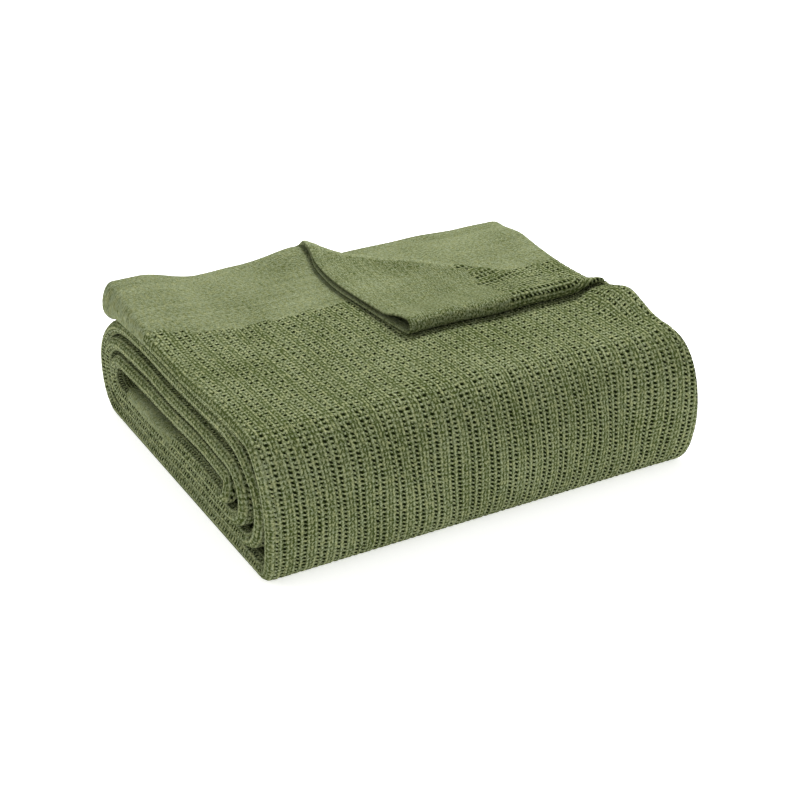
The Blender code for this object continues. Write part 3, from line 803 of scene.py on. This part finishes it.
def cloth_material():
    material = bpy.data.materials.new("cellular_cotton")
    n = Nodes(material)
    place = n.add("ShaderNodeUVMap", uv_map="weave").outputs[0]
    parts = n.add("ShaderNodeSeparateXYZ")
    n.put(parts.inputs[0], place)
    a, v = parts.outputs[0], parts.outputs[1]
    hole, painted_rim_shade, twisted, band, open_mesh = mesh_weave(n, a, v)

    fuzz = n.noise(place, FUZZ)
    grain = n.noise(place, GRAIN)
    patches = n.noise(place, PATCHES, 3.0)
    flecks = n.ramp(n.noise(place, FLECKS, 3.0), *FLECK_EDGE, -0.5, 0.5)
    dashes = n.noise(n.scaled(place, DASH_LENGTHENING, 1.0), DASHES, 1.0)
    streaks = n.noise(n.scaled(place, 1.0, STREAK_LENGTHENING), STREAKS)

    ribs = n.sum(0.5, (n.cosine(v, 1 / PLAIN_PITCH), 0.5))
    plain = n.mix(n.ramp(dashes, *DASH_EDGE), 0.15, ribs)
    yarn = n.mix(open_mesh, plain, twisted)
    height = n.sum(yarn, (fuzz, 1.2), (flecks, 0.6), (hole, -2.0))

    in_header = plain_tone(n, a, v, plain, dashes, flecks, place)
    in_mesh = mesh_tone(n, v, painted_rim_shade, twisted, band, flecks, streaks)
    uneven = [(n.centred(fuzz), 1.6), (n.centred(grain), 0.4), (n.centred(patches), 0.6)]
    tone = n.sum(n.mix(open_mesh, in_header, in_mesh), *uneven)
    tone = n.math("MINIMUM", n.math("MAXIMUM", tone, 0.0), MOST_BRIGHTNESS)
    colour = n.blend(tone, DARK, n.blend(n.ramp(streaks, *STREAK_EDGE), LIGHT, WARM))

    # The holes are painted with the dark hole colour: painted shade in the holes
    n.put(n.shader.inputs["Base Color"], n.blend(hole, colour, HOLE_SHADE))
    n.put(n.shader.inputs["Normal"], bump(n, height))
    n.put(n.shader.inputs["Roughness"], n.ramp(fuzz, 0.2, 0.8, 0.86, 1.0))
    n.shader.inputs["Specular IOR Level"].default_value = 0.04
    return material


CLOTH_MATERIAL = cloth_material()

# ---- The pieces


def whole_rows(length, step):
    return float(np.floor(length / step) * step)


FINE_A, FINE_V = PAIR / STEPS_PER_PAIR, HOLE_ROW / STEPS_PER_ROW
PLAIN_V = 2 * FINE_V  # rows in the headers
END_V = HOLE_ROW / 2  # rows at the ends that the folds hide in part
HIDDEN_A, HIDDEN_V = 8 * FINE_A, 8 * FINE_V  # steps where the cloth isn't seen
TAIL = 30 * MM  # of the next ply, past the folds of the outer pieces
END_TAIL = 17 * MM  # and past the folds of the inner passes
MESH_START = np.floor((HEADER - max(LEFT_NARROWING, FLAP_NARROWING)) / PLAIN_V) * PLAIN_V
FRONT_END = whole_rows(PASS_STARTS[1] + 25 * MM, FINE_V)
UNDER_END = BEND_STARTS[1] - 15 * MM  # of the cloth that the roll lies on
BACK_END = whole_rows(PASS_STARTS[2] + 60 * MM, FINE_V)
UNDER_FLAP = 25 * MM  # what is kept of each ply under the next one, on both sides of the crease
STACK_LENGTH, STACK_STEP = 40 * MM, (5 * MM, 4 * MM)  # of the plies' edges at the back


def clear_of_crease(span, f, v):
    """Where a place on a ply is past the crease, or less than UNDER_FLAP before it."""
    x = mix(PLY_START[span // 2], PLY_END[span // 2], f)
    return x[None, :] - CREASE_X - v[:, None] > -UNDER_FLAP


def over_flap(span, f, v):
    """Faces of ply 2 that are turned over with the corner, and all of the plies before it."""
    return (clear_of_crease(span, f, v) | (span < PLY_2)[None, :])[:-1, :-1]


def bare(span, f, v):
    """Faces of ply 3 that the turned corner leaves bare, and all of the fold at its end."""
    return (clear_of_crease(span, f, v) | (span > PLY_3)[None, :])[:-1, :-1]


def outer_columns(last):
    return columns((PLY_6, SPAN_LENGTHS[PLY_6] - TAIL), last, FINE_A)


def free_end_rows(length):
    """From the hem on top through the header and into the mesh."""
    header = rows(0, MESH_START, PLAIN_V, hem=True)
    return np.vstack([header, rows(MESH_START + FINE_V, length, FINE_V)])


def make_top():
    found = outer_columns((PLY_2, FLAP_SIZE))
    piece("top_cloth", [lay(*found, free_end_rows(TOP_LENGTH), over_flap)])


def make_front():
    strip = rows(whole_rows(TOP_LENGTH, FINE_V), FRONT_END, FINE_V)
    piece("front_cloth", [lay(*outer_columns((PLY_2, TAIL)), strip)])


def make_back():
    under = np.vstack([(FRONT_END, 1.0), rows(FRONT_END + FINE_V, UNDER_END, HIDDEN_V)])
    strip = np.vstack([under, rows(under[-1, 0] + FINE_V, BACK_END, FINE_V)])
    piece("under_and_back_cloth", [lay(*outer_columns((PLY_2, TAIL)), strip)])


def make_bare():
    found = columns((PLY_3, 120 * MM), (PLY_6, TAIL), FINE_A)
    piece("bare_pair_cloth", [lay(*found, free_end_rows(FLAP_SIZE + 15 * MM), bare)])


def make_right_ends():
    found = columns((PLY_3, SPAN_LENGTHS[PLY_3] - END_TAIL), (PLY_6, END_TAIL), FINE_A)
    start = whole_rows(FLAP_SIZE + 10 * MM, END_V)
    piece("right_ends", [lay(*found, rows(start, ROLL_LENGTH, END_V, far_hem=True))])


def make_left_ends():
    found = columns((PLY_6, SPAN_LENGTHS[PLY_6] - END_TAIL), (PLY_1, END_TAIL), FINE_A)
    piece("left_ends", [lay(*found, rows(BACK_END, ROLL_LENGTH, FINE_V, far_hem=True))])


def make_inner():
    hidden = [(LEFT_END + END_TAIL + 10 * MM, HALF_END - END_TAIL, HIDDEN_A)]
    found = columns((PLY_1, END_TAIL), (PLY_2, END_TAIL), FINE_A, hidden)
    piece("inner_passes", [lay(*found, rows(BACK_END, ROLL_LENGTH, END_V, far_hem=True))])


def make_hem_stack():
    """The plies' edges at the back, under the outer ply."""
    edge = rows(0, STACK_LENGTH, STACK_STEP[1], hem=True)
    overlap = TAIL - 2 * MM
    past_flap = SPAN_LENGTHS[PLY_2] - (CREASE_X - LEFT_FOLD_X) - 20 * MM
    piece("back_hem_edges", [
        lay(*columns(begin, end, STACK_STEP[0]), edge)
        for begin, end in (
            ((PLY_3, 0.0), (PLY_3, 160 * MM)),
            ((PLY_6, overlap), (PLY_6, SPAN_LENGTHS[PLY_6] - overlap)),
            ((PLY_2, past_flap), (LAST_PLY, SPAN_LENGTHS[LAST_PLY])),
        )
    ])


make_top()
make_front()
make_back()
make_bare()
make_right_ends()
make_left_ends()
make_inner()
make_hem_stack()


# ---- Floor, light and camera

FLOOR_HALF, FLOOR_Z = 4, -0.2 * MM  # just under the part
LIGHT_AIM = Vector((0, 0, 0.05))
VIEW_AZIMUTH, VIEW_ELEVATION, VIEW_DISTANCE = np.radians(-29.356), np.radians(27.623), 1.2729
VIEW_TARGET = Vector((-0.0001, -0.0216, 0.0403))
LENS, SHIFT = 77.0, (-0.0004, -0.0041)


def add_floor():
    mesh = bpy.data.meshes.new("floor")
    corners = [(x * FLOOR_HALF, y * FLOOR_HALF, 0) for x, y in ((-1, -1), (1, -1), (1, 1), (-1, 1))]
    mesh.from_pydata(corners, [], [(0, 1, 2, 3)])
    floor = bpy.data.objects.new("floor", mesh)
    bpy.context.scene.collection.objects.link(floor)
    material = bpy.data.materials.new("pale_floor")
    material.use_nodes = True
    shader = material.node_tree.nodes["Principled BSDF"]
    shader.inputs["Base Color"].default_value = (0.92, 0.92, 0.92, 1)
    shader.inputs["Roughness"].default_value = 0.9
    shader.inputs["Emission Color"].default_value = (1, 1, 1, 1)
    shader.inputs["Emission Strength"].default_value = 0.6
    mesh.materials.append(material)
    floor.location.z = FLOOR_Z


def add_light(name, place, size, power):
    data = bpy.data.lights.new(name, "AREA")
    data.shape = "DISK"
    data.size = size
    data.energy = power
    lamp = bpy.data.objects.new(name, data)
    lamp.location = place
    lamp.rotation_euler = (LIGHT_AIM - Vector(place)).to_track_quat("-Z", "Y").to_euler()
    bpy.context.scene.collection.objects.link(lamp)


def add_world(strength):
    world = bpy.data.worlds.new("studio")
    world.use_nodes = True
    background = world.node_tree.nodes["Background"]
    background.inputs[0].default_value = (1, 1, 1, 1)
    background.inputs[1].default_value = strength
    bpy.context.scene.world = world


def add_camera():
    level_part = np.cos(VIEW_ELEVATION)
    back = Vector((
        np.sin(VIEW_AZIMUTH) * level_part, -np.cos(VIEW_AZIMUTH) * level_part, np.sin(VIEW_ELEVATION)
    ))
    right = Vector((np.cos(VIEW_AZIMUTH), np.sin(VIEW_AZIMUTH), 0))
    up = back.cross(right)
    data = bpy.data.cameras.new("camera")
    data.sensor_width = 36
    data.lens = LENS
    data.shift_x, data.shift_y = SHIFT
    camera = bpy.data.objects.new("camera", data)
    turn = Matrix((right, up, back)).transposed().to_4x4()
    camera.matrix_world = Matrix.Translation(VIEW_TARGET + back * VIEW_DISTANCE) @ turn
    bpy.context.scene.collection.objects.link(camera)
    bpy.context.scene.camera = camera


add_floor()
add_light("key", (0.9, 0.9, 2.0), 1.0, 62)
add_light("front_fill", (0.9, -1.9, 1.2), 1.8, 7)
add_light("left_fill", (-1.8, 0.7, 0.9), 1.2, 9)
add_world(0.58)
add_camera()
bpy.context.scene.view_settings.view_transform = "Standard"
